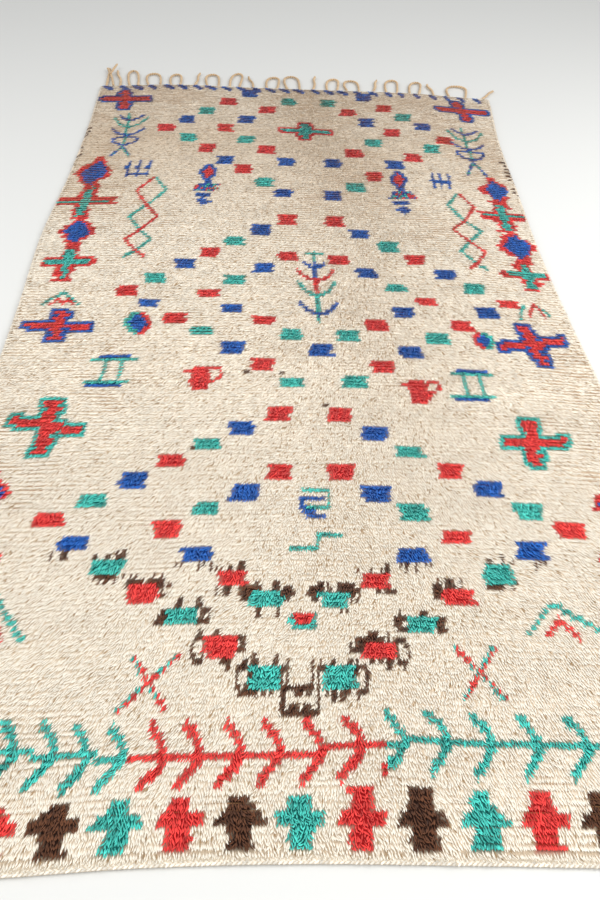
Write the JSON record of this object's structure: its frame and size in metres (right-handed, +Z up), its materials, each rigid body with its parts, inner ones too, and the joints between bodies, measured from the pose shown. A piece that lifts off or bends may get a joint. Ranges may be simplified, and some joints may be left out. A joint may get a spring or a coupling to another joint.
{
  "type": "azilal rug",
  "caption": "Hand-knotted wool rug with a flat lumpy pile, a plain near hem and looped twisted warp cords at its far end.",
  "frame": {"origin": "middle of the whole rug with its cords, on the floor", "axes": "+Y along the rug towards its corded end, +X across it to the right seen from the near hem, +Z up"},
  "size_m": [1.3452, 2.753, 0.0165],
  "materials": {
    "cream_wool": "undyed cream knotted wool pile, matt",
    "warp_cord": "tan twisted wool warp cord, matt",
    "red_wool": "red dyed wool pile, matt",
    "blue_wool": "blue dyed wool pile, matt",
    "green_wool": "turquoise green dyed wool pile, matt",
    "brown_wool": "dark brown undyed wool pile, matt",
    "ground_weave": "plain woven wool ground, matt"
  },
  "bodies": {
    "root": {"knotted_cloth": "cream_wool", "far_fringe": "warp_cord"}
  },
  "joints": []
}
